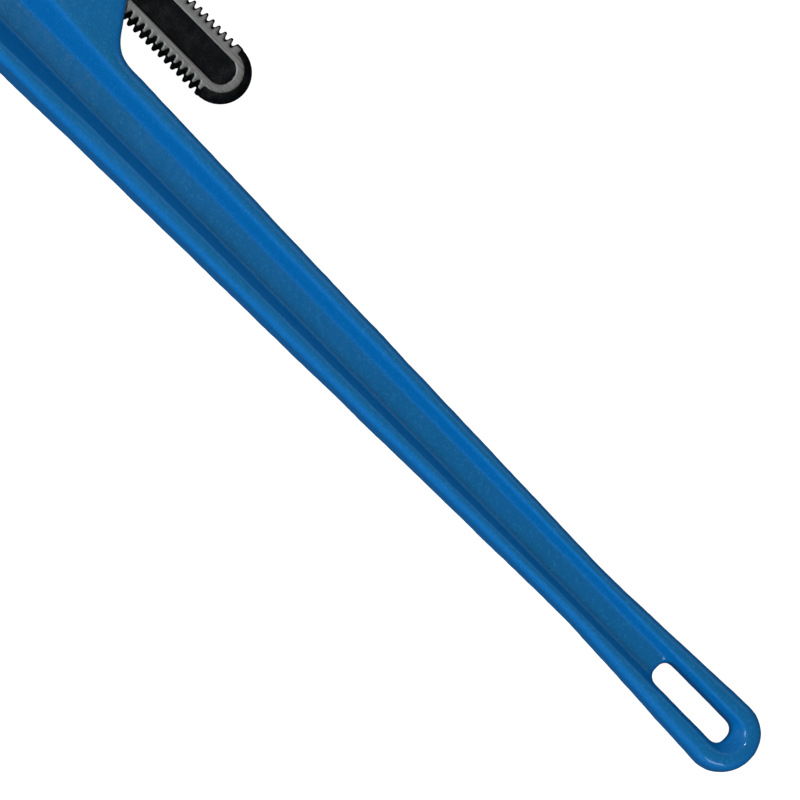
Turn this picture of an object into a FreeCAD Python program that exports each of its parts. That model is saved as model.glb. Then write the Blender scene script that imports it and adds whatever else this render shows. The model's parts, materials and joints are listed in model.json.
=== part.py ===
"""Straight pipe wrench, nominal length 24 in (600 mm), lying on its side.

Working frame: x runs from the hanging end of the handle to the jaws, y points to the side
where the mouth opens, and z is square to the wrench's side faces, with z = 0 in its middle plane.
The last step moves every piece so that the origin is at the centre of the base, with +Z up.
All lengths are in millimetres.
"""
import FreeCAD, Part
import math
import os

V = FreeCAD.Vector
TOUCHING = 1e-3              # points closer than this are the same

# ---- driving dimensions ----------------------------------------------------------------------
# handle
END_RADIUS = 15.2            # rounded hanging end
END_HALF_WIDTH = 16.1
WAIST_X = 93.0               # narrowest place of the grip
WAIST_HALF_WIDTH = 11.8
WAIST_BEND = 420.0           # radius of the grip's hollow sides
NECK_X = 385.0               # where the handle meets the housing
NECK_HALF_WIDTH = 18.3
GRIP_HALF_DEPTH = 9.8        # half the flange depth, at the hanging end
NECK_HALF_DEPTH = 12.6
HEAD_HALF_DEPTH = 15.5
CASTING_ROUND = 3.8          # rounding of the casting's outer edges

# recess on both sides of the web; its walls slope out to the flanges
WEB_HALF_DEPTH = 4.3
WEB_X = (13.0, 452.0)
WEB_HALF_WIDTHS = (5.2, 5.1, 6.0)      # at the hanging end, the waist and the housing
WALL_SLOPES = (0.50, 0.49, 0.72)       # how far a wall leans out for each mm that it rises
WALL_END_SLOPES = (1.25, 0.9)          # the same at the hanging end and at the housing
WEB_CORNERS = (4.9, 5.5)

# hanging slot
SLOT_START_X, SLOT_END_X = 13.2, 53.6
SLOT_WIDTH = 11.6
SLOT_CORNER = 4.6

# jaw shank and its thread
SHANK_Y = -44.7
SHANK_RADIUS = 13.6          # half the shank's width, and the thread's outer radius
SHANK_HALF_DEPTH = 6.5
SHANK_END_RADIUS = 13.3      # the free end, which has no thread
SHANK_EDGE_RADIUS = 7.3      # rounding of that end's rim
THREAD_PITCH = 3.6
THREAD_DEPTH = 2.4
THREAD_CREST_GAP = 2.5       # groove width at the outer radius
THREAD_ROOT_GAP = 0.9        # groove width at the root
THREAD_PLAY = 0.30           # clearance of the nut's thread, radially and on each flank
SHANK_TIP_X = 340.0
THREAD_START_X, THREAD_END_X = 356.0, 503.0
PANEL_X = (347.6, 511.0)     # sunk panel along the shank's side
PANEL_HALF_WIDTH = 6.1
PANEL_CORNER = 5.6
PANEL_DEPTH = 1.4

# housing
NUT_WINDOW_X = (440.0, 466.6)
NUT_RADIUS = 20.5
NUT_PLAY_END = 0.7
NUT_PLAY_SIDE = 1.5
STRAP_THICKNESS = 7.5
SLOT_PLAY_Y = 0.9            # shank to housing
SLOT_PLAY_Z = 0.8
HOUSING_TOP_X = 495.0
HEAD_EDGE_Y = 25.5           # the head's edge on the mouth side
WINDOW_CORNER = 3.5

# jaws
SEAT_X = 487.0               # where the heel jaw sits
HEEL_HEIGHT = 18.0           # seat to tooth tips
HEEL_Y = (-27.4, 25.0)
HEEL_HALF_DEPTH = 12.0
TONGUE_Y = (-11.0, 19.0)
TONGUE_HALF_DEPTH = 6.0
TONGUE_LENGTH = 12.0
TONGUE_PLAY = 0.15
JAW_GAP = 30.0               # mouth opening at rest
TOOTH_PITCH = 3.3
TOOTH_DEPTH = 1.7
HOOK_HALF_DEPTH = 10.0
HOOK_TIP_Y = 29.0
HOOK_HEIGHT = 43.0           # tooth tips to the top of the hook
HOOK_ROUND = 2.4             # rounding of the hook's outer edges
NECK_LENGTH = 7.0            # where the shank widens into the hook

# small parts
HEEL_PIN_RADIUS = 2.5
HEEL_PIN_XY = (481.0, 4.0)
HEEL_PIN_SUNK = 0.3          # below the casting's side faces
COIL_X = 477.0
COIL_POCKET_RADIUS = 4.6
COIL_POCKET_DEPTH = 11.0
COIL_WIRE = 1.2
COIL_RADIUS = 3.5            # to the middle of the wire
COIL_TURNS = 6
LEAF_X = (469.0, 491.0)
LEAF_HALF_WIDTH = 4.5
LEAF_THICKNESS = 1.0
LEAF_POCKET_DEPTH = 4.0
LEAF_POCKET_HALF_WIDTH = 5.2
SPRING_GAP = 0.15            # both springs stop this far short of the shank
RIVET_X = 487.0
RIVET_RADIUS = 2.0
RIVET_HEAD = (3.6, 1.5)      # radius and height outside the strap
RIVET_FOOT = (3.2, 1.1)      # the same on the leaf

# ---- worked out from them --------------------------------------------------------------------
THREAD_ROOT = SHANK_RADIUS - THREAD_DEPTH
FLANK_LEAN = (THREAD_CREST_GAP - THREAD_ROOT_GAP) / 2 / THREAD_DEPTH
HEEL_FACE_X = SEAT_X + HEEL_HEIGHT
HOOK_FACE_X = HEEL_FACE_X + JAW_GAP
SHANK_IN_Y = SHANK_Y + SHANK_RADIUS
SHANK_OUT_Y = SHANK_Y - SHANK_RADIUS
SLOT_IN_Y = SHANK_IN_Y + SLOT_PLAY_Y
SLOT_OUT_Y = SHANK_OUT_Y - SLOT_PLAY_Y
SLOT_HALF_DEPTH = SHANK_HALF_DEPTH + SLOT_PLAY_Z
STRAP_IN_Y = SHANK_Y - NUT_RADIUS - NUT_PLAY_SIDE
STRAP_OUT_Y = STRAP_IN_Y - STRAP_THICKNESS
WINDOW_IN_Y = SHANK_Y + NUT_RADIUS + NUT_PLAY_SIDE
LEAF_WALL_Y = SLOT_OUT_Y - LEAF_POCKET_DEPTH
HOOK_BASE_X = HOOK_FACE_X - 2
HOOK_BACK_X = HOOK_FACE_X + TOOTH_DEPTH


# ---- helpers ---------------------------------------------------------------------------------
def rounded_wire(corners, place=lambda a, b: V(a, b, 0)):
    """A closed wire through corners (a, b, radius), each rounded by a tangent arc."""
    arcs = []
    count = len(corners)
    for i, (a, b, radius) in enumerate(corners):
        here = V(a, b, 0)
        before = V(*corners[i - 1][:2], 0) - here
        after = V(*corners[(i + 1) % count][:2], 0) - here
        before.normalize()
        after.normalize()
        if radius == 0:
            arcs.append((here, None, here))
            continue
        half = before.getAngle(after) / 2
        reach = radius / math.tan(half)
        middle = before + after
        middle.normalize()
        centre = here + middle * (radius / math.sin(half))
        arcs.append((here + before * reach, centre - middle * radius, here + after * reach))
    edges = []
    for i, (start, through, end) in enumerate(arcs):
        start, end = place(start.x, start.y), place(end.x, end.y)
        if through is not None:
            edges.append(Part.Arc(start, place(through.x, through.y), end).toShape())
        following = arcs[(i + 1) % count][0]
        following = place(following.x, following.y)
        if (following - end).Length > 1e-6:
            edges.append(Part.LineSegment(end, following).toShape())
    return Part.Wire(edges)


def plate(corners, low, high):
    """A prism of a rounded outline in x and y, between two heights in z."""
    face = Part.Face(rounded_wire(corners, lambda a, b: V(a, b, low)))
    return face.extrude(V(0, 0, high - low))


def block(x, y, z):
    """A box between pairs of limits."""
    return Part.makeBox(x[1] - x[0], y[1] - y[0], z[1] - z[0], V(x[0], y[0], z[0]))


def cylinder(radius, start, along):
    """A cylinder from a start point, as long as the vector along."""
    return Part.makeCylinder(radius, along.Length, start, along)


def rounded(shape, radius, chosen):
    """The shape with the chosen edges rounded. chosen(edge) says which."""
    return shape.makeFillet(radius, [e for e in shape.Edges if chosen(e)])


def middle_of(edge):
    return edge.valueAt((edge.FirstParameter + edge.LastParameter) / 2)


def mirrored(shape):
    """The shape's copy on the other side face."""
    return shape.mirror(V(0, 0, 0), V(0, 0, 1))


def helix_to_x(shape, x):
    """Turns a shape made about +Z so that it lies about the shank's axis, its base at x."""
    turned = shape.copy()
    turned.transformShape(FreeCAD.Matrix(0, 0, 1, 0, 1, 0, 0, 0, 0, 1, 0, 0, 0, 0, 0, 1))
    turned.translate(V(x, SHANK_Y, 0))
    return turned


def teeth(low, high, root, lean):
    """Tooth outline as (y, x) points from low to high; x rises from root, and lean is -1 or 1."""
    count = int((high - low) // TOOTH_PITCH)
    start = (low + high - count * TOOTH_PITCH) / 2
    points = []
    for i in range(count):
        y = start + i * TOOTH_PITCH
        tip = y + TOOTH_PITCH * (0.5 + 0.22 * lean)
        points += [(y, root), (tip - 0.2, root + TOOTH_DEPTH), (tip + 0.2, root + TOOTH_DEPTH)]
    return points + [(start + count * TOOTH_PITCH, root)]


# ---- handle and housing, one casting -----------------------------------------------------------
def casting_outline():
    """The casting as seen from the side, starting at the hanging end."""
    window_low, window_high = NUT_WINDOW_X
    return [
        (0, END_HALF_WIDTH, END_RADIUS),
        (WAIST_X, WAIST_HALF_WIDTH, WAIST_BEND),
        (NECK_X + 60, NECK_HALF_WIDTH + 1.4, 160),
        (NECK_X + 88, HEAD_EDGE_Y, 22),
        (HOUSING_TOP_X, HEAD_EDGE_Y, 5),
        (HOUSING_TOP_X, STRAP_OUT_Y + 4, 12),
        (window_high + 8, STRAP_OUT_Y, 26),
        (window_low - 12, STRAP_OUT_Y, 9),
        (NECK_X + 2, -NECK_HALF_WIDTH, 15),
        (WAIST_X, -WAIST_HALF_WIDTH, WAIST_BEND),
        (0, -END_HALF_WIDTH, END_RADIUS),
    ]


def depth_envelope():
    """What the casting's depth is along the wrench, as a prism across it."""
    top = [
        (-9, GRIP_HALF_DEPTH, 0),
        (WAIST_X, GRIP_HALF_DEPTH, 300),
        (NECK_X - 10, NECK_HALF_DEPTH, 60),
        (NECK_X + 32, HEAD_HALF_DEPTH, 60),
        (HOUSING_TOP_X + 9, HEAD_HALF_DEPTH, 0),
    ]
    bottom = [(x, -z, r) for x, z, r in reversed(top)]
    face = Part.Face(rounded_wire(top + bottom, lambda a, b: V(a, -STRAP_OUT_Y, b)))
    return face.extrude(V(0, 2 * STRAP_OUT_Y - 1, 0))


def web_recess():
    """What is cast away between the flanges on one side: a trough whose walls lean outwards."""

    def outline(rise):
        ends = [
            WEB_X[0] - WALL_END_SLOPES[0] * rise,
            WAIST_X,
            WEB_X[1] + WALL_END_SLOPES[1] * rise,
        ]
        widths = [half + slope * rise for half, slope in zip(WEB_HALF_WIDTHS, WALL_SLOPES)]
        radii = [
            WEB_CORNERS[0] + WALL_SLOPES[0] * rise,
            WAIST_BEND,
            WEB_CORNERS[1] + WALL_SLOPES[2] * rise,
        ]
        one_side = list(zip(ends, widths, radii))
        return one_side + [(x, -y, r) for x, y, r in reversed(one_side)]

    wires = []
    for rise in (0.0, HEAD_HALF_DEPTH + 1 - WEB_HALF_DEPTH):
        z = WEB_HALF_DEPTH + rise
        wires.append(rounded_wire(outline(rise), lambda a, b: V(a, b, z)))
    return Part.makeLoft(wires, True, True)


def rounded_rectangle(x, y, corner):
    """Corners for rounded_wire between pairs of limits."""
    return [(x[0], y[0], corner), (x[1], y[0], corner), (x[1], y[1], corner), (x[0], y[1], corner)]


def handle_casting():
    outline = casting_outline()
    through = HEAD_HALF_DEPTH + 4
    blank = plate(outline, -through, through).common(depth_envelope())
    rim = rounded_wire(outline)

    def on_rim(edge):
        point = middle_of(edge)
        flat = Part.Vertex(V(point.x, point.y, 0))
        upright = abs(edge.tangentAt(edge.FirstParameter).z) > 0.9
        return rim.distToShape(flat)[0] < TOUCHING and not upright

    body = rounded(blank, CASTING_ROUND, on_rim)
    recess = web_recess()
    slot_y = (-SLOT_WIDTH / 2, SLOT_WIDTH / 2)
    slot = rounded_rectangle((SLOT_START_X, SLOT_END_X), slot_y, SLOT_CORNER)
    window = rounded_rectangle(NUT_WINDOW_X, (STRAP_IN_Y, WINDOW_IN_Y), WINDOW_CORNER)
    past_top = HOUSING_TOP_X + 9
    tongue_x = (SEAT_X - TONGUE_LENGTH - TONGUE_PLAY, SEAT_X + 1)
    tongue_y = (TONGUE_Y[0] - TONGUE_PLAY, TONGUE_Y[1] + TONGUE_PLAY)
    tongue_z = TONGUE_HALF_DEPTH + TONGUE_PLAY
    leaf_x = (NUT_WINDOW_X[1] - 1, LEAF_X[1] + 1)
    leaf_z = (-LEAF_POCKET_HALF_WIDTH, LEAF_POCKET_HALF_WIDTH)
    pin_x, pin_y = HEEL_PIN_XY
    return body.cut([
        recess,
        mirrored(recess),
        plate(slot, -through, through),
        plate(window, -through, through),
        block((NECK_X, past_top), (SLOT_OUT_Y, SLOT_IN_Y), (-SLOT_HALF_DEPTH, SLOT_HALF_DEPTH)),
        block((SEAT_X, past_top), (SLOT_IN_Y - 1, HEAD_EDGE_Y + 1), (-through, through)),
        block(tongue_x, tongue_y, (-tongue_z, tongue_z)),
        block(leaf_x, (LEAF_WALL_Y, SHANK_Y), leaf_z),
        cylinder(HEEL_PIN_RADIUS, V(pin_x, pin_y, -through), V(0, 0, 2 * through)),
        cylinder(COIL_POCKET_RADIUS, V(COIL_X, SLOT_IN_Y - 1, 0), V(0, COIL_POCKET_DEPTH + 1, 0)),
        cylinder(RIVET_RADIUS, V(RIVET_X, STRAP_OUT_Y - 1, 0), V(0, SHANK_OUT_Y - STRAP_OUT_Y, 0)),
    ])


# ---- hook jaw --------------------------------------------------------------------------------
def groove_cutter(side):
    """One thread groove across the shank's edge, side 1 towards the handle and -1 away from it."""
    overlap = 0.6
    spread = 54.0
    wide = THREAD_CREST_GAP / 2 + FLANK_LEAN * overlap
    narrow = THREAD_ROOT_GAP / 2
    outer = SHANK_RADIUS + overlap
    helix = Part.makeHelix(THREAD_PITCH, THREAD_PITCH * 2 * spread / 360, SHANK_RADIUS)
    profile = [
        V(outer, 0, -wide),
        V(THREAD_ROOT, 0, -narrow),
        V(THREAD_ROOT, 0, narrow),
        V(outer, 0, wide),
    ]
    groove = Part.Wire(helix.Edges).makePipeShell([Part.makePolygon(profile + profile[:1])], True, True)
    turn = -spread if side > 0 else 180 - spread
    groove.rotate(V(0, 0, 0), V(0, 0, 1), turn)
    groove.translate(V(0, 0, THREAD_PITCH * turn / 360))
    return groove


def hook_outline():
    """The hook's head as seen from the side, without its teeth."""
    top = HOOK_FACE_X + HOOK_HEIGHT
    return [
        (HOOK_BASE_X, SHANK_OUT_Y, 0),
        (HOOK_BASE_X, SHANK_IN_Y, 0),
        (HOOK_BACK_X, SHANK_IN_Y, 3.5),
        (HOOK_BACK_X, HOOK_TIP_Y - 0.5, 0),
        (HOOK_BACK_X + 11, HOOK_TIP_Y + 2.5, 8),
        (top - 8, -8, 38),
        (top + 2, -38, 27),
        (top - 16, SHANK_OUT_Y - 2.5, 18),
    ]


def shank_blank():
    """The plain shank: a flat bar with round edges and a pillowed end."""
    base = SHANK_TIP_X + SHANK_END_RADIUS
    top = HOOK_BACK_X
    depth = SHANK_HALF_DEPTH
    all_y = (SHANK_OUT_Y - 1, SHANK_IN_Y + 1)
    bar = cylinder(SHANK_RADIUS, V(base, SHANK_Y, 0), V(top - base, 0, 0))
    bar = bar.common(block((base, top), all_y, (-depth, depth)))
    rim = SHANK_END_RADIUS - SHANK_EDGE_RADIUS + math.sqrt(SHANK_EDGE_RADIUS ** 2 - depth ** 2)
    section = Part.Wire([
        Part.makeLine(V(0, 0, -depth), V(rim, 0, -depth)),
        Part.Arc(V(rim, 0, -depth), V(SHANK_END_RADIUS, 0, 0), V(rim, 0, depth)).toShape(),
        Part.makeLine(V(rim, 0, depth), V(0, 0, depth)),
        Part.makeLine(V(0, 0, depth), V(0, 0, -depth)),
    ])
    end = Part.Face(section).revolve(V(0, 0, 0), V(0, 0, 1), 360)
    end.translate(V(base, SHANK_Y, 0))
    end = end.common(block((SHANK_TIP_X - 1, base), all_y, (-depth - 1, depth + 1)))
    return bar.fuse(end)


def hook_neck():
    """The wedge between the shank and the deeper hook."""

    def section(x, inset, depth):
        low, high = SHANK_OUT_Y + inset, SHANK_IN_Y - inset
        corners = [V(x, low, -depth), V(x, high, -depth), V(x, high, depth), V(x, low, depth)]
        return Part.makePolygon(corners + corners[:1])

    on_shank = section(HOOK_BASE_X - NECK_LENGTH, 1.8, SHANK_HALF_DEPTH)
    return Part.makeLoft([on_shank, section(HOOK_BASE_X, 0, HOOK_HALF_DEPTH)], True, True)


def hook_teeth():
    depth = HOOK_HALF_DEPTH
    profile = teeth(-25.0, HOOK_TIP_Y - 1.5, 0, -1)
    points = [V(HOOK_BACK_X - x, y, -depth) for y, x in profile]
    behind = [V(HOOK_BACK_X + 1, points[i].y, -depth) for i in (-1, 0)]
    face = Part.Face(Part.makePolygon(points + behind + points[:1]))
    return face.extrude(V(0, 0, 2 * depth))


def hook_jaw():
    def outer_edge(edge):
        point = middle_of(edge)
        on_side = abs(abs(point.z) - HOOK_HALF_DEPTH) < TOUCHING
        along_side = abs(edge.tangentAt(edge.FirstParameter).z) < 0.5
        return on_side and along_side and point.x > HOOK_BACK_X + 1

    head = rounded(plate(hook_outline(), -HOOK_HALF_DEPTH, HOOK_HALF_DEPTH), HOOK_ROUND, outer_edge)
    jaw = shank_blank().fuse([head, hook_neck(), hook_teeth()]).removeSplitter()
    panel_y = (SHANK_Y - PANEL_HALF_WIDTH, SHANK_Y + PANEL_HALF_WIDTH)
    floor = SHANK_HALF_DEPTH - PANEL_DEPTH
    panel = plate(rounded_rectangle(PANEL_X, panel_y, PANEL_CORNER), floor, SHANK_HALF_DEPTH + 1)
    count = int((THREAD_END_X - THREAD_START_X) / THREAD_PITCH)
    grooves = []
    for side in (1, -1):
        one = groove_cutter(side)
        grooves += [helix_to_x(one, THREAD_START_X + i * THREAD_PITCH) for i in range(count)]
    return jaw.cut([panel, mirrored(panel)] + grooves)


# ---- adjusting nut ---------------------------------------------------------------------------
def adjusting_nut():
    low = NUT_WINDOW_X[0] + NUT_PLAY_END
    height = NUT_WINDOW_X[1] - NUT_PLAY_END - low
    bore = THREAD_ROOT + THREAD_PLAY
    lip = 2.2
    corners = [
        V(bore, 0, 0),
        V(NUT_RADIUS - lip, 0, 0),
        V(NUT_RADIUS, 0, lip),
        V(NUT_RADIUS, 0, height - lip),
        V(NUT_RADIUS - lip, 0, height),
        V(bore, 0, height),
    ]
    ring = Part.Face(Part.makePolygon(corners + corners[:1])).revolve(V(0, 0, 0), V(0, 0, 1), 360)
    outer = SHANK_RADIUS + THREAD_PLAY
    inner = bore - 0.8
    land = THREAD_PITCH - THREAD_CREST_GAP
    half_outer = land / 2 + THREAD_PLAY - FLANK_LEAN * THREAD_PLAY
    half_inner = half_outer + FLANK_LEAN * (outer - inner)
    turns = math.ceil(height / THREAD_PITCH) + 2
    helix = Part.makeHelix(THREAD_PITCH, turns * THREAD_PITCH, SHANK_RADIUS)
    profile = [
        V(inner, 0, -half_inner),
        V(outer, 0, -half_outer),
        V(outer, 0, half_outer),
        V(inner, 0, half_inner),
    ]
    thread = Part.Wire(helix.Edges).makePipeShell([Part.makePolygon(profile + profile[:1])], True, True)
    # the shank's lands lie half a pitch from its grooves, which pass THREAD_START_X at angle 0
    phase = (THREAD_START_X + THREAD_PITCH / 2 - low) % THREAD_PITCH
    thread.translate(V(0, 0, phase - 2 * THREAD_PITCH))
    return helix_to_x(ring.cut(thread), low)


# ---- heel jaw and its pin ----------------------------------------------------------------------
def heel_jaw():
    root = HEEL_FACE_X - TOOTH_DEPTH
    shoulder = root - 0.6
    low, high = HEEL_Y
    depth = HEEL_HALF_DEPTH
    profile = [V(x, y, -depth) for y, x in teeth(low + 1.2, high - 1.2, root, 1)]
    before = [V(SEAT_X, low, -depth), V(shoulder, low, -depth)]
    after = [V(shoulder, high, -depth), V(SEAT_X, high, -depth)]
    outline = Part.makePolygon(before + profile + after + before[:1])
    block_with_teeth = Part.Face(outline).extrude(V(0, 0, 2 * depth))
    tongue_x = (SEAT_X - TONGUE_LENGTH, SEAT_X + 1)
    tongue = block(tongue_x, TONGUE_Y, (-TONGUE_HALF_DEPTH, TONGUE_HALF_DEPTH))
    pin_x, pin_y = HEEL_PIN_XY
    hole = cylinder(HEEL_PIN_RADIUS, V(pin_x, pin_y, -depth), V(0, 0, 2 * depth))
    return block_with_teeth.fuse(tongue).removeSplitter().cut(hole)


def heel_pin():
    pin_x, pin_y = HEEL_PIN_XY
    half = HEAD_HALF_DEPTH - HEEL_PIN_SUNK
    pin = cylinder(HEEL_PIN_RADIUS, V(pin_x, pin_y, -half), V(0, 0, 2 * half))
    return pin.makeChamfer(0.6, [e for e in pin.Edges if abs(abs(middle_of(e).z) - half) < TOUCHING])


# ---- springs and rivet -------------------------------------------------------------------------
def coil_spring():
    """A compression spring in its pocket, with its free end at the shank's edge."""
    foot = SLOT_IN_Y + COIL_POCKET_DEPTH
    tip = SHANK_IN_Y + SPRING_GAP
    length = foot - tip - COIL_WIRE
    helix = Part.makeHelix(length / COIL_TURNS, length, COIL_RADIUS)
    section = Part.Wire(Part.makeCircle(COIL_WIRE / 2, V(COIL_RADIUS, 0, 0), V(0, 1, 0)))
    coil = Part.Wire(helix.Edges).makePipeShell([section], True, True)
    coil.rotate(V(0, 0, 0), V(1, 0, 0), -90)
    coil.translate(V(COIL_X, tip + COIL_WIRE / 2, 0))
    return coil


def leaf_spring():
    """A bowed leaf, flat on the pocket's wall under the rivet and bearing on the shank's edge."""
    low, high = LEAF_X
    wall = LEAF_WALL_Y
    bearing = SHANK_OUT_Y - SPRING_GAP - LEAF_THICKNESS
    flat_end = V(RIVET_X - 4, wall, 0)
    free_end = V(low, bearing - 0.3, 0)
    curve = Part.BezierCurve()
    curve.setPoles([flat_end, V(low + 8, wall, 0), V(low + 5, bearing, 0), free_end])
    thickness = V(0, LEAF_THICKNESS, 0)
    under = [Part.makeLine(V(high, wall, 0), flat_end), curve.toShape()]
    over = [edge.copy() for edge in under]
    for edge in over:
        edge.translate(thickness)
    ends = [Part.makeLine(point, point + thickness) for point in (V(high, wall, 0), free_end)]
    face = Part.Face(Part.Wire(Part.__sortEdges__(under + over + ends)))
    face.translate(V(0, 0, -LEAF_HALF_WIDTH))
    leaf = face.extrude(V(0, 0, 2 * LEAF_HALF_WIDTH))
    return leaf.cut(cylinder(RIVET_RADIUS, V(RIVET_X, wall - 1, 0), V(0, LEAF_THICKNESS + 2, 0)))


def spring_rivet():
    head_radius, head_height = RIVET_HEAD
    foot_radius, foot_height = RIVET_FOOT
    outside = STRAP_OUT_Y
    inside = LEAF_WALL_Y + LEAF_THICKNESS
    stem = cylinder(RIVET_RADIUS, V(RIVET_X, outside, 0), V(0, inside - outside, 0))
    foot = cylinder(foot_radius, V(RIVET_X, inside, 0), V(0, foot_height, 0))
    head = cylinder(head_radius, V(RIVET_X, outside - head_height, 0), V(0, head_height, 0))
    head = rounded(head, 1.0, lambda e: middle_of(e).y < outside - head_height + TOUCHING)
    foot = rounded(foot, 0.6, lambda e: middle_of(e).y > inside + foot_height - TOUCHING)
    return stem.fuse([foot, head]).removeSplitter()


# ---- build, place and write --------------------------------------------------------------------
def main():
    parts = {
        "handle": handle_casting(),
        "hook_jaw": hook_jaw(),
        "adjusting_nut": adjusting_nut(),
        "heel_jaw": heel_jaw(),
        "heel_jaw_pin": heel_pin(),
        "coil_spring": coil_spring(),
        "leaf_spring": leaf_spring(),
        "spring_rivet": spring_rivet(),
    }
    whole = FreeCAD.BoundBox()
    for shape in parts.values():
        whole.add(shape.optimalBoundingBox(False))
    place = V(-whole.Center.x, -whole.Center.y, -whole.ZMin)
    os.makedirs("parts", exist_ok=True)
    for name, shape in parts.items():
        shape.translate(place)
        print(name, "solids", len(shape.Solids), "volume", round(shape.Volume), "valid", shape.isValid())
        shape.exportStep(f"parts/{name}.step")
    print("moved by", place)
    print("size", whole.XLength, whole.YLength, whole.ZLength)
    print("nut axis", V(NUT_WINDOW_X[0], SHANK_Y, 0) + place)


main()
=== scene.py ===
# %% [markdown]
# # A straight pipe wrench, lying on its side
#
# The wrench has eight pieces: an iron casting that is both handle and jaw housing, a forged hook
# jaw with a thread along its shank, the nut that moves it, a hardened heel jaw with its pin, and
# two springs, one of them riveted. The CAD model fixes where every piece is and how it moves. This
# script gives the pieces the surfaces that casting, forging, knurling and painting leave.

# %% Load the fixed frame
import json
import math
import bmesh
import bpy
from mathutils import Matrix, Vector, noise


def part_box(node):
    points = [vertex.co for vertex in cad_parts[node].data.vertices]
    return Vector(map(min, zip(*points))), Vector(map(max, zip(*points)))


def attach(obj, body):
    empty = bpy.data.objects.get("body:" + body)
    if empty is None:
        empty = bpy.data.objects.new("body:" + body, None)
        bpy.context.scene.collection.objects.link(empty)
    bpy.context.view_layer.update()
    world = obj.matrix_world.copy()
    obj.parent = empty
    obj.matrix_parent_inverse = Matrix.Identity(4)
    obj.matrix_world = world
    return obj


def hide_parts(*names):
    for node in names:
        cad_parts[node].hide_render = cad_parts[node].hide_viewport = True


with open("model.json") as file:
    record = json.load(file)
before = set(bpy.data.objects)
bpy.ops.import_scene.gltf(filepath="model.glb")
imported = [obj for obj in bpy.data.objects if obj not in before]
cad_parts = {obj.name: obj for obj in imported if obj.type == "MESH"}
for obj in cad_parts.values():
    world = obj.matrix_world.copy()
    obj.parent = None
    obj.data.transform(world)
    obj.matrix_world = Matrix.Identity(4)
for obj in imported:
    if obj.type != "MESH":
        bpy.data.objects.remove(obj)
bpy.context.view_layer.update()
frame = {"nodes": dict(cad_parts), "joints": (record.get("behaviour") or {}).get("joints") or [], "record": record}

MM = 0.001

# %% [markdown]
# ## The places that everything else is measured from
#
# The wrench has three lines that matter: the middle plane between its side faces, the centre line
# of the grip, and the axis of the threaded shank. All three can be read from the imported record, so
# no position has to be typed twice.

# %% Read the lines from the record
joints = {joint["name"]: joint for joint in frame["joints"]}
mounts = {mount["name"]: mount for mount in frame["record"]["mounts"]}
SHANK_Y, MID_Z = joints["nut_spin"]["pos_m"][1:]
GRIP_Y = mounts["hang_slot"]["pos_m"][1]
HANGING_END_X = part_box("handle")[0].x
HOOK_TOP_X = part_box("hook_jaw")[1].x
print("shank axis at y", SHANK_Y, "z", MID_Z, "and the grip's middle at y", GRIP_Y)

# %% [markdown]
# ## The camera
#
# A long lens from far away keeps the handle's two edges almost parallel. The camera looks down on
# the side face from a little towards the mouth's side, and it is rolled so that the handle runs
# from the upper left to the lower right. An orthographic camera could do this too, but a
# perspective lens can later be moved nearer or further to frame another view.

# %% Make the camera
CAMERA_DISTANCE = 2.6
SEEN_WIDTH = 0.328                       # what the frame spans at the wrench
CAMERA_TILT = math.radians(9.0)          # from straight above, towards the mouth's side
CAMERA_ROLL = math.radians(45.4)         # the handle's slope in the frame
AIM_FROM_END = 0.2054                    # along the handle from its hanging end
AIM_ASIDE = -0.0023                      # across it, towards the shank

along = Vector((1, 0, 0))
aside = Vector((0, math.cos(CAMERA_TILT), -math.sin(CAMERA_TILT)))
backwards = along.cross(aside)
right = -math.cos(CAMERA_ROLL) * along - math.sin(CAMERA_ROLL) * aside
upwards = math.sin(CAMERA_ROLL) * along - math.cos(CAMERA_ROLL) * aside
aim = Vector((HANGING_END_X + AIM_FROM_END, GRIP_Y, MID_Z)) + aside * AIM_ASIDE

camera = bpy.data.objects.new("camera", bpy.data.cameras.new("camera"))
camera.data.lens = camera.data.sensor_width * CAMERA_DISTANCE / SEEN_WIDTH
camera.data.clip_end = 50
turned = Matrix((right, upwards, backwards)).transposed().to_4x4()
camera.matrix_world = Matrix.Translation(aim + backwards * CAMERA_DISTANCE) @ turned
bpy.context.scene.collection.objects.link(camera)
bpy.context.scene.camera = camera
bpy.context.scene.view_settings.view_transform = "Standard"
print("lens", round(camera.data.lens), "mm")

# %% [markdown]
# ## A way to write shader maths as sums
#
# A node tree is easier to read when 1 - mask adds the Math node by itself. This class wraps one
# output socket. Arithmetic on it adds Math nodes, and its method `node` adds any other node: the
# settings are set first, because some of them change which sockets the node has. A Math node would
# average the three parts of a vector, so `parts` takes coordinates apart before any sum.


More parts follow.
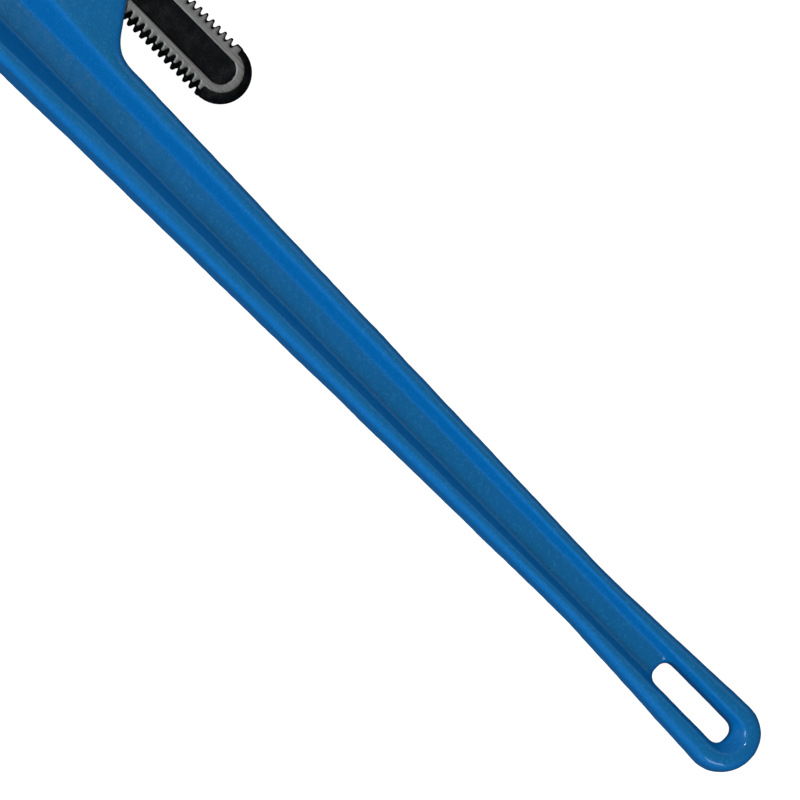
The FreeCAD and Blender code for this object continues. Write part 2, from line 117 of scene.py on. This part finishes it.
# %% Wrap a socket
class Field:
    """One output socket of a node tree, usable in sums with numbers and other fields."""

    def __init__(self, tree, socket):
        self.tree = tree
        self.socket = socket

    @staticmethod
    def node(tree, kind, settings=None, values=None, output=0):
        """Any node, as the field of one of its outputs. An output node has none."""
        made = tree.nodes.new(kind)
        for name, setting in (settings or {}).items():
            setattr(made, name, setting)
        for key, value in (values or {}).items():
            if isinstance(value, Field):
                tree.links.new(value.socket, made.inputs[key])
            else:
                made.inputs[key].default_value = value
        return Field(tree, made.outputs[output] if made.outputs else None)

    def maths(self, operation, first, second=0.0, clamp=False):
        settings = {"operation": operation, "use_clamp": clamp}
        return Field.node(self.tree, "ShaderNodeMath", settings, {0: first, 1: second})

    def __add__(self, other):
        return self.maths("ADD", self, other)

    def __sub__(self, other):
        return self.maths("SUBTRACT", self, other)

    def __mul__(self, other):
        return self.maths("MULTIPLY", self, other)

    def __truediv__(self, other):
        return self.maths("DIVIDE", self, other)

    def __mod__(self, other):
        return self.maths("FLOORED_MODULO", self, other)

    def __radd__(self, other):
        return self.maths("ADD", other, self)

    def __rsub__(self, other):
        return self.maths("SUBTRACT", other, self)

    def __rmul__(self, other):
        return self.maths("MULTIPLY", other, self)

    def __abs__(self):
        return self.maths("ABSOLUTE", self)

    def parts(self):
        """The X, Y and Z of a vector, as three fields."""
        split = Field.node(self.tree, "ShaderNodeSeparateXYZ", values={0: self}).socket.node
        return [Field(self.tree, socket) for socket in split.outputs]

    def floor(self):
        return self.maths("FLOOR", self)

    def cos(self):
        return self.maths("COSINE", self)

    def sin(self):
        return self.maths("SINE", self)

    def root(self):
        return self.maths("SQRT", self)

    def step(self, level, softness):
        """0 below the level and 1 above it, by a ramp as wide as softness."""
        return self.maths("ADD", (self - (level - softness / 2)) / softness, 0.0, clamp=True)


# %% [markdown]
# ## What every finish needs
#
# All the finishes read the object's own coordinates. Every piece sits at the origin, so these are
# places on the wrench in metres, and a pattern can follow its geometry: the ground side faces of
# the shank are simply where the surface is far from the middle plane.


# %% Start a finish
class Finish:
    """A material with its surface shader, and the coordinates that its patterns read."""

    def __init__(self, name):
        self.material = bpy.data.materials.new(name)
        self.material.use_nodes = True
        self.tree = self.material.node_tree
        self.shader = self.tree.nodes["Principled BSDF"]
        self.place = Field.node(self.tree, "ShaderNodeTexCoord", output="Object")
        self.x, self.y, self.z = self.place.parts()
        self.from_middle = abs(self.z - MID_Z)

    def noise(self, size, detail=2.0, roughness=0.5, place=None):
        """Smooth noise from 0 to 1 whose lumps are about size metres across."""
        values = {"Vector": place or self.place, "Scale": 1 / size, "Detail": detail}
        values["Roughness"] = roughness
        return Field.node(self.tree, "ShaderNodeTexNoise", values=values)

    def stretched(self, lengths):
        """The coordinates divided by three lengths, for a pattern longer one way than another."""
        values = {0: self.place, 1: [1 / length for length in lengths]}
        return Field.node(self.tree, "ShaderNodeVectorMath", {"operation": "MULTIPLY"}, values)

    def mix(self, factor, first, second):
        """One colour where factor is 0 and another where it is 1."""
        ends = [c if isinstance(c, Field) else (*c, 1) for c in (first, second)]
        values = {0: factor, 6: ends[0], 7: ends[1]}
        return Field.node(self.tree, "ShaderNodeMix", {"data_type": "RGBA"}, values, output=2)

    def bump(self, height, depth):
        """Relief of a field from 0 to 1, depth metres deep."""
        values = {"Height": height, "Distance": depth, "Strength": 1.0}
        relief = Field.node(self.tree, "ShaderNodeBump", values=values)
        self.surface(Normal=relief)

    def surface(self, **sockets):
        """Sets or links the surface shader's sockets, with _ for a space in their names."""
        for name, value in sockets.items():
            socket = self.shader.inputs[name.replace("_", " ")]
            if isinstance(value, Field):
                self.tree.links.new(value.socket, socket)
            else:
                socket.default_value = value


# %% [markdown]
# ## Blue enamel on rough iron
#
# The casting comes out of a sand mould, so under its paint the skin is pebbled. Two sizes of noise
# in a Bump node give that skin, and the same noise shades the colour, so that relief and colour
# agree: the paint is paler where it is thin, on the tops of the pebbles. Flat faces, told by the
# surface's normal, get a greener and duller colour in clouds as long as a thumb. That is painted
# sheen: it stands in for the dim light that a face looking up mirrors. Enamel is a satin layer
# with a thin clear one over it. The satin keeps the blue deep, and the clear layer gives the sharp
# glints on the rims. A full coat would mirror the whole room and turn the blue milky.

# %% Mix the enamel
ENAMEL_BLUE = (0.0008, 0.132, 0.395)     # on the slopes and rims
ENAMEL_FLAT_SHEEN = (0.0010, 0.113, 0.268)     # painted sheen, on flat faces
ENAMEL_PALE = (0.0150, 0.200, 0.470)     # on the tops of the pebbles
PEBBLE_SIZE = 1.1 * MM
LUMP_SIZE = 4 * MM
CLOUD_SIZE = 45 * MM
SKIN_DEPTH = 0.21 * MM
FLAT_FROM = 0.93                         # the upright part of a flat face's normal


def enamel():
    paint = Finish("blue_enamel")
    pebbles = paint.noise(PEBBLE_SIZE, detail=3.0, roughness=0.62)
    lumps = paint.noise(LUMP_SIZE)
    clouds = paint.noise(CLOUD_SIZE)
    facing_up = Field.node(paint.tree, "ShaderNodeNewGeometry", output="Normal").parts()[2]
    flatness = abs(facing_up).step(FLAT_FROM, 0.12)
    # Painted sheen on flat faces, in clouds, plus a random mottle from the pebbles.
    sheen_and_mottle = flatness * (0.35 + 0.9 * clouds) + 0.6 * (pebbles - 0.5)
    colour = paint.mix(sheen_and_mottle.step(0.5, 1.0), ENAMEL_BLUE, ENAMEL_FLAT_SHEEN)
    colour = paint.mix(0.45 * pebbles.step(0.60, 0.14), colour, ENAMEL_PALE)
    paint.surface(Base_Color=colour, Roughness=0.28 + 0.12 * lumps)
    paint.surface(Specular_IOR_Level=0.12, Coat_Weight=0.5, Coat_Roughness=0.10)
    paint.bump(0.5 * pebbles + 0.5 * lumps, SKIN_DEPTH)
    return paint.material


# %% [markdown]
# ## Forged steel with ground faces
#
# The hook jaw is forged and blackened, and then its shank is ground flat on both sides, so that it
# slides in the housing. Grinding leaves grey faces with fine lines along the shank, and the sunk
# panel, the thread's notches and the rounded end stay black. The mask is geometric: the ground
# faces are the outermost 0.1 mm of the shank. Hands and pipes rub the hook's head to a dark grey,
# and on both jaws the tips of the teeth wear bright. Painting such a mask by hand would also do,
# but it would have to be painted again after each change of the shape.

# %% Blacken the steel
BLACK_SCALE = (0.0025, 0.0023, 0.0027)
BLACK_WORN = (0.018, 0.017, 0.0165)


def blackened(name, grain=0.8 * MM, shine=0.35):
    """Black oxide over forged scale, whose colour and roughness `polish` sets later."""
    steel = Finish(name)
    steel.scale = steel.noise(grain, detail=4.0, roughness=0.6)
    steel.lumps = steel.noise(5 * MM, detail=2.0)
    rubbed = 0.6 * steel.scale + 0.4 * steel.lumps
    steel.black = steel.mix(rubbed.step(0.58, 0.22), BLACK_SCALE, BLACK_WORN)
    steel.surface(Specular_IOR_Level=shine)
    return steel


# %% Polish parts of it
GROUND_GREY = (0.180, 0.161, 0.143)
GROUND_BRIGHT = (0.40, 0.365, 0.325)


def polish(steel, mask, grain):
    """Bare metal where the mask is 1 and black scale where it is 0."""
    bare = steel.mix(grain, GROUND_GREY, GROUND_BRIGHT)
    steel.surface(
        Base_Color=steel.mix(mask, steel.black, bare),
        Metallic=0.85 * mask,
        Roughness=(1 - mask) * (0.42 + 0.25 * steel.scale) + mask * (0.34 + 0.12 * grain),
    )


# %% Finish the hook jaw
HEAD_WORN = (0.032, 0.031, 0.030)
GROUND_LEVEL = 6.40 * MM                 # from the middle plane
GROUND_END_X = HOOK_TOP_X - 52.5 * MM    # the shank widens into the hook here
HEAD_BLEND = 6 * MM                      # how gradually the head's finish begins
PAST_SHANK = 16 * MM                     # from the shank's axis, where the hook's teeth are


def hook_steel(teeth_x):
    steel = blackened("blackened_forging", shine=0.09)
    head = steel.x.step(GROUND_END_X, HEAD_BLEND)
    steel.black = steel.mix(head * (0.15 + 0.7 * steel.lumps), steel.black, HEAD_WORN)
    edge = steel.from_middle + 0.12 * MM * (steel.scale - 0.5)
    ground = edge.step(GROUND_LEVEL, 0.10 * MM) * (1 - steel.x.step(GROUND_END_X, 1.0 * MM))
    tips = 1 - steel.x.step(teeth_x, 0.3 * MM)
    tips = tips * steel.y.step(SHANK_Y + PAST_SHANK, 0.5 * MM)
    lines = steel.noise(1.0, detail=3.0, place=steel.stretched((14 * MM, 0.22 * MM, 0.22 * MM)))
    mask = ground + tips * 0.8
    polish(steel, mask, lines.step(0.5, 0.5))
    forged = 0.5 * steel.scale + 0.5 * steel.lumps
    steel.bump((1 - mask) * forged + mask * 0.12 * lines, 0.10 * MM)
    return steel.material


# %% Finish the heel jaw and the nut
def heel_steel(teeth_x):
    steel = blackened("hardened_jaw", grain=1.2 * MM)
    tips = steel.x.step(teeth_x, 0.3 * MM)
    sides = steel.noise(1.0, detail=2.0, place=steel.stretched((0.3 * MM, 9 * MM, 0.3 * MM)))
    polish(steel, tips * 0.8, sides)
    steel.bump(0.6 * steel.scale + 0.4 * sides, 0.05 * MM)
    return steel.material


def nut_steel(tip_radius):
    steel = blackened("knurled_steel", grain=0.6 * MM)
    across, up = steel.y - SHANK_Y, steel.z - MID_Z
    radius = (across * across + up * up).root()
    tips = (radius + 0.15 * MM * steel.lumps).step(tip_radius, 0.25 * MM)
    polish(steel, tips * 0.55, steel.lumps)
    steel.bump(steel.scale, 0.03 * MM)
    return steel.material


# %% Finish the springs, the pin and the rivet
def spring_steel():
    steel = blackened("blued_spring", grain=0.5 * MM)
    polish(steel, 0.35 + 0.3 * steel.lumps, steel.scale)
    steel.bump(steel.scale, 0.01 * MM)
    return steel.material


def rivet_steel():
    steel = blackened("plain_rivet", grain=0.7 * MM)
    polish(steel, 0.55 + 0.3 * steel.scale, steel.lumps)
    steel.bump(steel.lumps, 0.04 * MM)
    return steel.material


# %% [markdown]
# ## Copying a CAD piece so that it can be worked
#
# A CAD mesh is loose triangles with sharp edges. Cast and forged pieces have no sharp edges: the
# sand, the die and the paint round them all. A Bevel modifier needs clean edges to work on, and a
# CAD mesh has hundreds of slivers beside its curves. So a copy is welded, rebuilt by the Remesh
# modifier as small even quads, and relaxed by the Smooth modifier. How far the edges round depends
# on the voxel size times the root of the number of steps. Where a piece has fine detail the voxels
# are small, and the Decimate modifier then spends the triangles where the surface bends.


# %% Weld a copy
WELD_DISTANCE = 0.001 * MM


def welded_copy(node, name):
    """A new object at the origin whose mesh is the CAD node's, with its doubles merged."""
    mesh = frame["nodes"][node].data.copy()
    shape = bmesh.new()
    shape.from_mesh(mesh)
    bmesh.ops.remove_doubles(shape, verts=shape.verts, dist=WELD_DISTANCE)
    fresh = bpy.data.meshes.new(name)
    shape.to_mesh(fresh)
    shape.free()
    bpy.data.meshes.remove(mesh)
    piece = bpy.data.objects.new(name, fresh)
    bpy.context.scene.collection.objects.link(piece)
    return piece


# %% Remesh and relax it
def apply_modifiers(piece):
    """Turns what the modifiers make into the piece's own mesh."""
    shown = piece.evaluated_get(bpy.context.evaluated_depsgraph_get())
    mesh = bpy.data.meshes.new_from_object(shown)
    piece.modifiers.clear()
    piece.data = mesh
    return piece


def soften(piece, voxel, steps, keep=1.0):
    """Rounds a piece's edges, and keeps a share of its faces where that is less than 1."""
    remesh = piece.modifiers.new("skin", "REMESH")
    remesh.mode = "VOXEL"
    remesh.voxel_size = voxel
    relax = piece.modifiers.new("relax", "SMOOTH")
    relax.factor = 0.5
    relax.iterations = steps
    if keep < 1:
        thin = piece.modifiers.new("thin", "DECIMATE")
        thin.ratio = keep
    apply_modifiers(piece)
    piece.data.shade_smooth()
    triangles = sum(len(face.vertices) - 2 for face in piece.data.polygons)
    print(piece.name, len(piece.data.polygons), "faces,", triangles, "triangles")
    return piece


# %% Give it a skin and hand it over
def roughen(piece, layers, extra=lambda place, normal: 0.0, where=lambda place: 1.0):
    """Moves the surface out by extra and by layers of noise, each a size and a height in metres."""
    mesh = piece.data
    normals = [normal.vector.copy() for normal in mesh.vertex_normals]
    places = [vertex.co.copy() for vertex in mesh.vertices]
    for vertex, place, normal in zip(mesh.vertices, places, normals):
        height = sum(high * noise.noise(place / size) for size, high in layers)
        vertex.co = place + normal * (height * where(place) + extra(place, normal))
    mesh.update()


def finish_piece(piece, material, node, body):
    """The piece keeps to its CAD node's box, takes its finish, and stands for the node."""
    low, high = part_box(node)
    for vertex in piece.data.vertices:
        vertex.co = [min(max(value, a), b) for value, a, b in zip(vertex.co, low, high)]
    piece.data.materials.clear()
    piece.data.materials.append(material)
    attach(piece, body)
    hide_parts(node)


# %% [markdown]
# ## The casting
#
# The handle is an I-section: two flanges joined by a thin web, with the recess walls leaning out as
# the pattern maker's draft. A 1 mm voxel and ten relaxing steps round its edges by about 2 mm, as
# on a sand casting of this size. Its skin is uneven by a tenth of a millimetre or so, and that is
# modelled, because bump alone would leave the outline straight. Where the two halves of the mould
# met there is a low, dressed seam round the outside, in the middle plane.

# %% Cast the handle
CAST_VOXEL = 1.0 * MM
CAST_SKIN = [(14 * MM, 0.16 * MM), (3.5 * MM, 0.10 * MM)]
SEAM_HEIGHT = 0.22 * MM
SEAM_HALF_WIDTH = 1.1 * MM
PAST_RECESS = 10 * MM                    # from the grip's middle, beyond the recess
ROUND_END = 12 * MM                      # the hanging end's length before the slot


def seam(place, normal):
    """How far the mould's seam stands out at a place on the casting."""
    near_middle = max(0.0, 1 - abs(place.z - MID_Z) / SEAM_HALF_WIDTH)
    aside_of_grip = place.y - GRIP_Y
    outwards = normal.y * aside_of_grip > 0 and abs(aside_of_grip) > PAST_RECESS
    outside = outwards or place.x < HANGING_END_X + ROUND_END
    return SEAM_HEIGHT * near_middle if outside and abs(normal.z) < 0.4 else 0.0


casting = soften(welded_copy("handle", "handle_casting"), CAST_VOXEL, steps=10)
roughen(casting, CAST_SKIN, extra=seam)
finish_piece(casting, enamel(), "handle", "wrench_body")

# %% [markdown]
# ## The hook jaw
#
# Its thread has a 3.6 mm pitch and needs voxels under half a millimetre. That makes too many faces
# for the flat sides, so Decimate takes back more than half of them. Only the hook's head keeps
# hammer marks: the shank is ground.

# %% Forge the hook jaw
HOOK_VOXEL = 0.42 * MM
HAMMER_MARKS = [(11 * MM, 0.18 * MM), (3 * MM, 0.05 * MM)]
REST_OPENING = 30 * MM                   # between the two rows of teeth
TIP_WEAR = 0.45 * MM


def on_head(place):
    """0 on the shank and 1 on the hook's head."""
    return min(1.0, max(0.0, (place.x - GROUND_END_X) / HEAD_BLEND))


hook = soften(welded_copy("hook_jaw", "hook_jaw_forging"), HOOK_VOXEL, steps=3, keep=0.5)
roughen(hook, HAMMER_MARKS, where=on_head)
hook_teeth_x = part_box("heel_jaw")[1].x + REST_OPENING
finish_piece(hook, hook_steel(hook_teeth_x + TIP_WEAR), "hook_jaw", "hook")

# %% [markdown]
# ## The adjusting nut
#
# A coarse diamond knurl lets a thumb turn the nut. It is one small frustum repeated hundreds of
# times in staggered rows round the nut, so Geometry Nodes lay it out: the index of each point gives
# its row and its place in the row, and every second row is turned by half a step. The ring under
# it is the CAD nut with its outside turned down, which keeps the real thread in its bore. A bump
# pattern would be quicker, but the knurl shows in the nut's outline.


# %% Shape one diamond of the knurl
def diamond(name, half_round, half_long, height):
    """A low frustum on a diamond base, standing along +Y from 0, sunk a little below it."""
    sunk = 0.35 * height
    top = 0.30                           # the flat top's share of the base
    shape = bmesh.new()
    rings = []
    for scale, y in ((1.0 + sunk / height * (1 - top), -sunk), (top, height)):
        corners = [(half_long, 0), (0, half_round), (-half_long, 0), (0, -half_round)]
        rings.append([shape.verts.new((x * scale, y, z * scale)) for x, z in corners])
    for i in range(4):
        j = (i + 1) % 4
        shape.faces.new((rings[0][i], rings[0][j], rings[1][j], rings[1][i]))
    shape.faces.new(rings[1])
    shape.faces.new(rings[0][::-1])
    bmesh.ops.recalc_face_normals(shape, faces=shape.faces)
    mesh = bpy.data.meshes.new(name)
    shape.to_mesh(mesh)
    shape.free()
    return bpy.data.objects.new(name, mesh)


# %% Build the knurling tree
def knurl_tree():
    tree = bpy.data.node_groups.new("knurl", "GeometryNodeTree")
    face = tree.interface
    face.new_socket("Geometry", in_out="OUTPUT", socket_type="NodeSocketGeometry")
    kinds = {
        "Ring": "Geometry", "Diamond": "Object", "Finish": "Material",
        "Around": "Int", "Rows": "Int", "Axis": "Vector",
        "Radius": "Float", "First Row": "Float", "Row Step": "Float",
    }
    for name, kind in kinds.items():
        face.new_socket(name, in_out="INPUT", socket_type="NodeSocket" + kind)
    entry = tree.nodes.new("NodeGroupInput")
    given = {name: Field(tree, entry.outputs[name]) for name in kinds}

    def node(kind, values=None, settings=None, output=0):
        return Field.node(tree, "GeometryNode" + kind, settings, values, output)

    index = node("InputIndex")
    row = (index / given["Around"] + 0.001).floor()
    column = index - row * given["Around"]
    turn = (column + (row % 2) * 0.5) * (2 * math.pi) / given["Around"]
    spot = Field.node(tree, "ShaderNodeCombineXYZ", values={
        0: given["First Row"] + row * given["Row Step"],
        1: given["Radius"] * turn.cos(),
        2: given["Radius"] * turn.sin(),
    })
    ends = {0: spot, 1: given["Axis"]}
    spot = Field.node(tree, "ShaderNodeVectorMath", {"operation": "ADD"}, ends)
    points = node("Points", {"Count": given["Around"] * given["Rows"], "Position": spot})
    facing = Field.node(tree, "ShaderNodeCombineXYZ", values={0: turn})
    turned = Field.node(tree, "FunctionNodeEulerToRotation", values={0: facing})
    shape = node("ObjectInfo", {"Object": given["Diamond"]}, output="Geometry")
    knurl = node("InstanceOnPoints", {"Points": points, "Instance": shape, "Rotation": turned})
    joined = node("JoinGeometry", {0: knurl})
    tree.links.new(given["Ring"].socket, joined.socket.node.inputs[0])
    real = node("RealizeInstances", {"Geometry": joined})
    done = node("SetMaterial", {"Geometry": real, "Material": given["Finish"]})
    tree.links.new(done.socket, tree.nodes.new("NodeGroupOutput").inputs[0])
    return tree


# %% Turn the nut down
KNURL_HEIGHT = 0.75 * MM
KNURL_TO_SPARE = 0.05 * MM               # between the diamonds' tops and the CAD nut's outside
NUT_WALL = 3 * MM                        # what lies further in is the thread, and stays

nut_low, nut_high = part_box("adjusting_nut")
nut_radius = (nut_high.z - nut_low.z) / 2
ring_radius = nut_radius - KNURL_HEIGHT - KNURL_TO_SPARE

nut = welded_copy("adjusting_nut", "knurled_nut")
for vertex in nut.data.vertices:
    across = Vector((0, vertex.co.y - SHANK_Y, vertex.co.z - MID_Z))
    if across.length > nut_radius - NUT_WALL:
        vertex.co -= across.normalized() * (nut_radius - ring_radius)
nut.data.shade_smooth()
nut.data.set_sharp_from_angle(angle=math.radians(35))
print("nut turned down to", round(2 * ring_radius / MM, 1), "mm across")

# %% Knurl it
KNURL_AROUND = 42
KNURL_ROWS = 13
KNURL_FILL = 0.94                        # of a row's step, which leaves the grooves
PLAIN_RIM = 2.9 * MM                     # without knurl, at each end
KNURL_WEAR = 0.25 * MM

row_step = (nut_high.x - nut_low.x - 2 * PLAIN_RIM) / (KNURL_ROWS - 1)
half_round = math.pi * ring_radius / KNURL_AROUND * KNURL_FILL
nut_finish = nut_steel(nut_radius - KNURL_WEAR)
knurling = nut.modifiers.new("knurl", "NODES")
knurling.node_group = knurl_tree()
inputs = {
    "Diamond": diamond("diamond", half_round, row_step * KNURL_FILL, KNURL_HEIGHT),
    "Finish": nut_finish,
    "Around": KNURL_AROUND,
    "Rows": KNURL_ROWS,
    "Radius": ring_radius,
    "First Row": nut_low.x + PLAIN_RIM,
    "Row Step": row_step,
    "Axis": (0.0, SHANK_Y, MID_Z),
}
for item in knurling.node_group.interface.items_tree:
    if item.in_out == "INPUT" and item.name in inputs:
        knurling[item.identifier] = inputs[item.name]
apply_modifiers(nut)
print(nut.name, len(nut.data.polygons), "faces,", KNURL_AROUND * KNURL_ROWS, "diamonds")
finish_piece(nut, nut_finish, "adjusting_nut", "nut")

# %% [markdown]
# ## The heel jaw
#
# It is a milled block of tool steel. The same welding and relaxing, with fine voxels and only two
# steps, breaks its edges by a few tenths of a millimetre, as a light tumble does.

# %% Mill the heel jaw
HEEL_VOXEL = 0.36 * MM

heel = soften(welded_copy("heel_jaw", "heel_jaw_block"), HEEL_VOXEL, steps=2, keep=0.4)
heel_teeth_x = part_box("heel_jaw")[1].x
finish_piece(heel, heel_steel(heel_teeth_x - TIP_WEAR), "heel_jaw", "wrench_body")

# %% [markdown]
# ## The small parts
#
# The pin, the two springs and the rivet have the right shape as they are, so they stay as CAD nodes
# and only take their finishes. They could be remeshed like the others, but a spring's thin wire
# would cost many triangles for edges that are round already.

# %% Finish the pin, the springs and the rivet
small_finishes = {
    "heel_jaw_pin": rivet_steel(),
    "coil_spring": spring_steel(),
    "leaf_spring": spring_steel(),
    "spring_rivet": rivet_steel(),
}
for node, material in small_finishes.items():
    slots = frame["nodes"][node].data.materials
    slots.clear()
    slots.append(material)
print("finished", ", ".join(small_finishes))

# %% [markdown]
# ## The studio
#
# The camera sees a plain white table, almost without a shadow, although the wrench lies in a rather
# dim room. A studio lights its background with separate lamps to get the same result.
# Here a Light Path node tells the camera's rays from all others: they see the table glow, and every
# other ray sees a plain grey table, except the rays that enamel and steel mirror. For those the
# table is nearly black and a little blue, a painted reflection along the casting's lower edges.
# Otherwise the white floor would light the casting's sides from below and lie mirrored along its
# lower edges.

# %% Lay the table
TABLE_SIZE = 40.0
TABLE_GLOW = 0.98
TABLE_SEEN = (0.30, 0.30, 0.30)
TABLE_GREY = (0.22, 0.22, 0.22)
TABLE_MIRRORED = (0.03, 0.05, 0.08)


def table_finish():
    material = bpy.data.materials.new("white_table")
    material.use_nodes = True
    tree = material.node_tree
    tree.nodes.clear()
    seen = Field.node(tree, "ShaderNodeLightPath", output="Is Camera Ray")
    mirrored = Field.node(tree, "ShaderNodeLightPath", output="Is Glossy Ray")
    matt, plain, faint = (
        Field.node(tree, "ShaderNodeBsdfDiffuse", values={0: (*colour, 1)})
        for colour in (TABLE_SEEN, TABLE_GREY, TABLE_MIRRORED)
    )
    glow = Field.node(tree, "ShaderNodeEmission", values={0: (1, 1, 1, 1), 1: TABLE_GLOW})
    lit = Field.node(tree, "ShaderNodeAddShader", values={0: matt, 1: glow})
    unseen = Field.node(tree, "ShaderNodeMixShader", values={0: mirrored, 1: plain, 2: faint})
    both = Field.node(tree, "ShaderNodeMixShader", values={0: seen, 1: unseen, 2: lit})
    Field.node(tree, "ShaderNodeOutputMaterial", values={0: both})
    return material


shape = bmesh.new()
bmesh.ops.create_grid(shape, x_segments=1, y_segments=1, size=TABLE_SIZE / 2)
table_mesh = bpy.data.meshes.new("table")
shape.to_mesh(table_mesh)
shape.free()
table_mesh.materials.append(table_finish())
table = bpy.data.objects.new("table", table_mesh)
bpy.context.scene.collection.objects.link(table)
print("table", TABLE_SIZE, "m wide")

# %% [markdown]
# ## The lights
#
# Two equal softboxes stand low at the frame's left and bottom, both on the mouth's side of the
# handle. They light the wall of the recess that faces them and leave the other wall dark, and that
# dark line is what makes the section readable. A weak fill from the shank's side keeps the edge
# there from going black. A small spot, high up in line with the handle, makes the glints at its
# round end. A long low glow lights the casting's edge on the mouth's side. It isn't mirrored,
# because a strip of light mirrored in enamel draws a hard white line along every edge. The lamps
# are cool and the room is warm, so a slope is a purer blue than a flat face.


# %% Hang the softboxes
COOL_LIGHT = (0.74, 0.87, 1.0)
LIGHT_DISTANCE = 1.5


def softbox(name, bearing, elevation, size, watts, mirrored=True):
    """An area light on the aim. The bearing turns anticlockwise from the frame's right."""
    bearing, elevation = math.radians(bearing), math.radians(elevation)
    flat = right.xy * math.cos(bearing) + upwards.xy * math.sin(bearing)
    from_aim = flat.normalized().to_3d() * math.cos(elevation)
    from_aim.z = math.sin(elevation)
    lamp = bpy.data.lights.new(name, "AREA")
    lamp.shape = "RECTANGLE"
    lamp.size, lamp.size_y = size
    lamp.energy = watts
    lamp.color = COOL_LIGHT
    light = bpy.data.objects.new(name, lamp)
    light.location = aim + from_aim * LIGHT_DISTANCE
    light.rotation_mode = "QUATERNION"
    light.rotation_quaternion = from_aim.to_track_quat("Z", "Y")
    light.visible_camera = False
    light.visible_glossy = mirrored
    bpy.context.scene.collection.objects.link(light)
    print(name, watts, "W")


softbox("left_softbox", bearing=180, elevation=36, size=(0.5, 0.5), watts=8)
softbox("front_softbox", bearing=264, elevation=36, size=(0.6, 0.5), watts=8)
softbox("fill", bearing=55, elevation=40, size=(1.1, 0.9), watts=2)
softbox("spot", bearing=135, elevation=68, size=(0.10, 0.10), watts=3.4)
softbox("low_glow", bearing=225, elevation=5, size=(1.6, 0.16), watts=4.5, mirrored=False)

# %% [markdown]
# ## The room
#
# The world is three rooms in one, again told apart by the kind of ray: white behind the wrench for
# the camera, warm and dim where it lights the wrench, and nearly dark where enamel and steel mirror
# it. A bright room in the mirror would lay a milky veil over the blue.

# %% Light the room
ROOM_WARM = (1.0, 0.98, 0.88)
ROOM_LIGHT = 0.42
ROOM_MIRRORED = 0.09

world = bpy.data.worlds.new("room")
bpy.context.scene.world = world
world.use_nodes = True
room = world.node_tree
room.nodes.clear()
looking = Field.node(room, "ShaderNodeLightPath", output="Is Camera Ray")
mirrored = Field.node(room, "ShaderNodeLightPath", output="Is Glossy Ray")
ambient = Field.node(room, "ShaderNodeBackground", values={0: (*ROOM_WARM, 1), 1: ROOM_LIGHT})
dark = Field.node(room, "ShaderNodeBackground", values={0: (1, 1, 1, 1), 1: ROOM_MIRRORED})
pale = Field.node(room, "ShaderNodeBackground", values={0: (1, 1, 1, 1), 1: 1.0})
unseen = Field.node(room, "ShaderNodeMixShader", values={0: mirrored, 1: ambient, 2: dark})
whole = Field.node(room, "ShaderNodeMixShader", values={0: looking, 1: unseen, 2: pale})
Field.node(room, "ShaderNodeOutputWorld", values={0: whole})
print("room at", ROOM_LIGHT, "and mirrored at", ROOM_MIRRORED)
